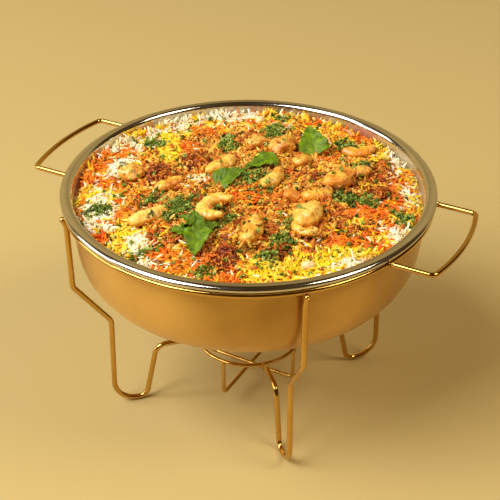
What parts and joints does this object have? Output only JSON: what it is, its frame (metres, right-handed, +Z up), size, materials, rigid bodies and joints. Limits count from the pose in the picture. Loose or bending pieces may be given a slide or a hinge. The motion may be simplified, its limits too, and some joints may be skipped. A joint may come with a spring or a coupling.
{
  "type": "prawn biryani in a chafing bowl",
  "caption": "Heaped saffron rice with golden prawns, fried onion and mint in a round steel bowl, gold outside, held in a bent-wire stand with loop handles and a burner ring.",
  "frame": {"origin": "on the floor, at the middle of the stand, under the bowl's axis", "axes": "+Z up, +X to the right and -Y towards the side from which the handles show at left back and right front"},
  "size_m": [0.4264, 0.3598, 0.257],
  "materials": {
    "bowl_steel": "polished steel inside and on the rim",
    "bowl_gold": "satin gold plating on the bowl's outside",
    "gold_wire": "polished gold plating",
    "rice": "moist cooked grains, white, saffron yellow and orange",
    "prawn": "moist golden marinade",
    "fried_chunk": "moist golden crust",
    "fried_onion": "crisp dark red-brown strands",
    "nut": "pale roasted nut",
    "mint": "fresh leaf, slightly waxy"
  },
  "bodies": {
    "root": {"bowl": "bowl_steel", "burner_brace_1": "gold_wire", "burner_brace_2": "gold_wire", "burner_ring": "gold_wire", "chunk_1": "fried_chunk", "chunk_2": "fried_chunk", "chunk_3": "fried_chunk", "chunk_4": "fried_chunk", "chunk_5": "fried_chunk", "chunk_6": "fried_chunk", "chunk_7": "fried_chunk", "handle_1": "gold_wire", "handle_2": "gold_wire", "leg_1": "gold_wire", "leg_2": "gold_wire", "leg_3": "gold_wire", "leg_4": "gold_wire", "mint_leaf_1": "mint", "mint_leaf_2": "mint", "mint_leaf_3": "mint", "mint_leaf_4": "mint", "mint_leaf_5": "mint", "mint_leaf_6": "mint", "mint_leaf_7": "mint", "nut_1": "nut", "nut_2": "nut", "onion_clump_1": "fried_onion", "onion_clump_2": "fried_onion", "onion_clump_3": "fried_onion", "onion_clump_4": "fried_onion", "onion_clump_5": "fried_onion", "onion_clump_6": "fried_onion", "prawn_1": "prawn", "prawn_10": "prawn", "prawn_2": "prawn", "prawn_3": "prawn", "prawn_4": "prawn", "prawn_5": "prawn", "prawn_6": "prawn", "prawn_7": "prawn", "prawn_8": "prawn", "prawn_9": "prawn", "rice": "rice", "top_ring": "gold_wire"}
  },
  "joints": []
}
